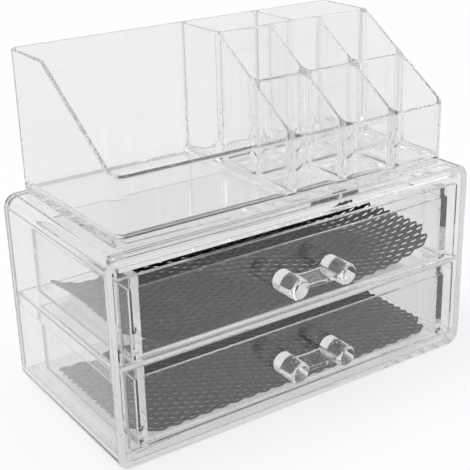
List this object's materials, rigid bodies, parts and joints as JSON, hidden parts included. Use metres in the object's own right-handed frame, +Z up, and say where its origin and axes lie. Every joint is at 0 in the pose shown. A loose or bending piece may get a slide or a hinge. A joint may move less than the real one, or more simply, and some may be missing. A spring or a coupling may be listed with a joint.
{
  "type": "makeup storage box",
  "caption": "Clear plastic makeup storage box: a cabinet with sliding drawers lined with black net, and a loose sloping tray with compartments standing on its top.",
  "frame": {"origin": "centre of the cabinet's flat underside", "axes": "+Z up; +X along the cabinet's width, to the right seen from the front; the drawers open towards -Y"},
  "size_m": [0.24, 0.1375, 0.198],
  "materials": {
    "clear_plastic": "clear, smooth, moulded",
    "net_plastic": "black, soft, extruded net"
  },
  "bodies": {
    "cabinet": {"cabinet_sleeve": "clear_plastic", "cabinet_back": "clear_plastic", "bottom_shelf": "clear_plastic", "middle_shelf": "clear_plastic"},
    "upper_drawer": {"upper_drawer_tub": "clear_plastic", "upper_drawer_front": "clear_plastic", "upper_drawer_handle": "clear_plastic", "upper_net_liner": "net_plastic"},
    "lower_drawer": {"lower_drawer_tub": "clear_plastic", "lower_drawer_front": "clear_plastic", "lower_drawer_handle": "clear_plastic", "lower_net_liner": "net_plastic"},
    "tray": {"tray_shell": "clear_plastic", "tray_section_divider": "clear_plastic", "tray_rear_wall": "clear_plastic", "tray_rear_divider": "clear_plastic", "tray_cross_wall": "clear_plastic", "tray_column_divider_inner": "clear_plastic", "tray_column_divider_outer": "clear_plastic"}
  },
  "joints": [
    {"name": "upper_drawer_slide", "type": "slide", "parent": "cabinet", "child": "upper_drawer", "axis": [0, -1, 0], "range_m": [0, 0.09]},
    {"name": "lower_drawer_slide", "type": "slide", "parent": "cabinet", "child": "lower_drawer", "axis": [0, -1, 0], "range_m": [0, 0.09]},
    {"name": "tray_lift", "type": "slide", "parent": "cabinet", "child": "tray", "axis": [0, 0, 1], "range_m": [0, 0.1]}
  ]
}
